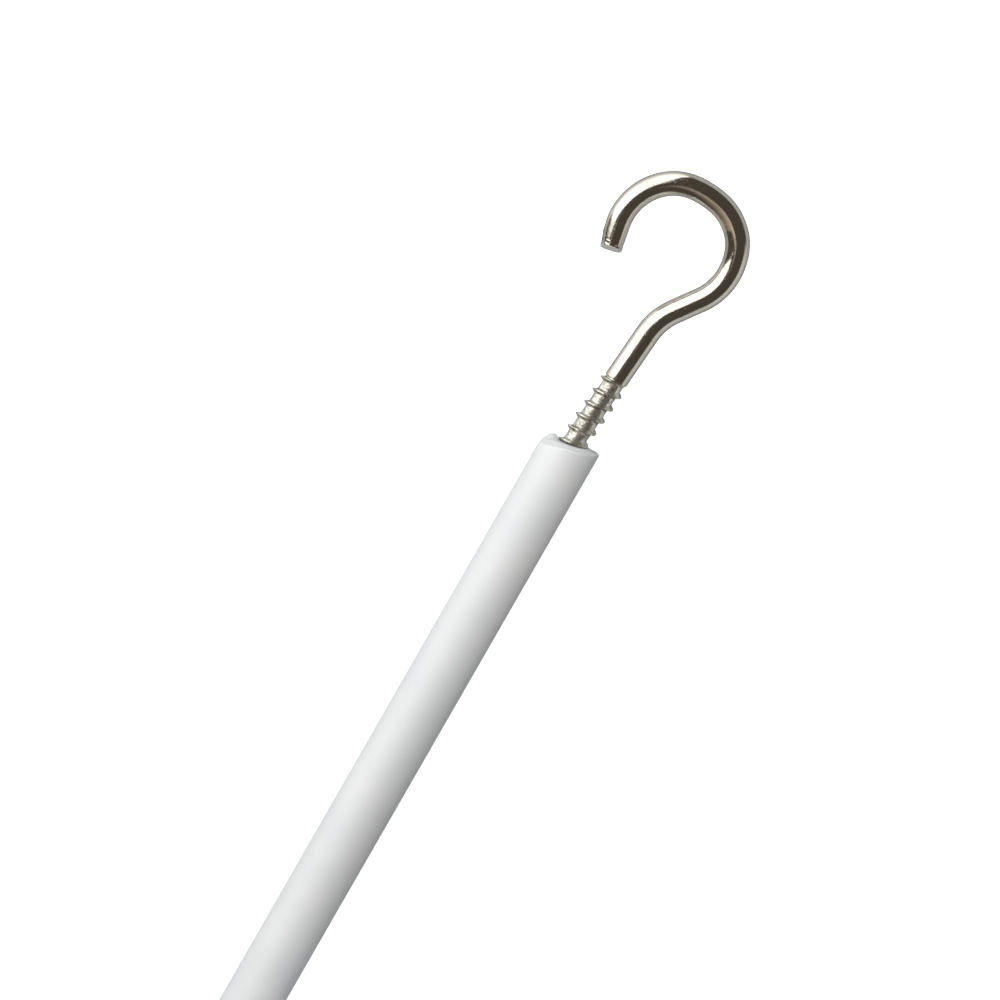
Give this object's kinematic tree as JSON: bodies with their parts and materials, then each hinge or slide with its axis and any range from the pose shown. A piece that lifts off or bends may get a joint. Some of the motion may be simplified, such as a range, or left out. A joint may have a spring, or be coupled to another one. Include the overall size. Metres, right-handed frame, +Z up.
{
  "type": "spring clothesline",
  "caption": "White plastic-sleeved spring line with a nickel-plated screw hook turned into each end, its spare length folded in a tied hank.",
  "frame": {"origin": "on the surface that the line lies on, under the middle of the whole object", "axes": "+X along the line, towards the open end of the hooks' shanks; +Z up from the surface; +Y towards the near hook's side of the hank"},
  "size_m": [0.161, 0.065, 0.0112],
  "materials": {
    "white_sleeve": "satin",
    "nickel_wire": "bright nickel plate",
    "spring_steel": "drawn wire",
    "tie_plastic": "satin"
  },
  "bodies": {
    "line": {"line_hank": "white_sleeve", "near_tie": "tie_plastic", "far_tie": "tie_plastic", "near_run": "white_sleeve", "far_run": "white_sleeve", "far_sleeve_end": "white_sleeve"},
    "near_end": {"near_sleeve_end": "white_sleeve"},
    "near_grip": {"near_spring_end": "spring_steel"},
    "near_hook": {"near_hook": "nickel_wire"},
    "far_grip": {"far_spring_end": "spring_steel"},
    "far_hook": {"far_hook": "nickel_wire"}
  },
  "joints": [
    {"name": "line_stretch", "type": "slide", "parent": "line", "child": "near_end", "axis": [1, 0, 0], "range_m": [0, 0.012], "stiffness_N_per_m": 880, "deforming": ["near_run"]},
    {"name": "near_hook_turn", "type": "hinge", "parent": "near_end", "child": "near_grip", "pos_m": [0.05632, 0.02599, 0.0024], "axis": [1, 0, 0], "range_deg": [-361, 1441], "deforming": ["near_spring_end"]},
    {"name": "near_hook_travel", "type": "slide", "parent": "near_grip", "child": "near_hook", "axis": [1, 0, 0], "range_m": [-0.0012, 0.0048]},
    {"name": "far_hook_turn", "type": "hinge", "parent": "line", "child": "far_grip", "pos_m": [0.00332, -0.02721, 0.0024], "axis": [1, 0, 0], "range_deg": [-361, 1441], "deforming": ["far_spring_end"]},
    {"name": "far_hook_travel", "type": "slide", "parent": "far_grip", "child": "far_hook", "axis": [1, 0, 0], "range_m": [-0.0012, 0.0048]}
  ],
  "couplings": [
    {"joint": "near_hook_turn", "follows": "near_hook_travel", "rad_per_m": 5236},
    {"joint": "far_hook_turn", "follows": "far_hook_travel", "rad_per_m": 5236}
  ]
}
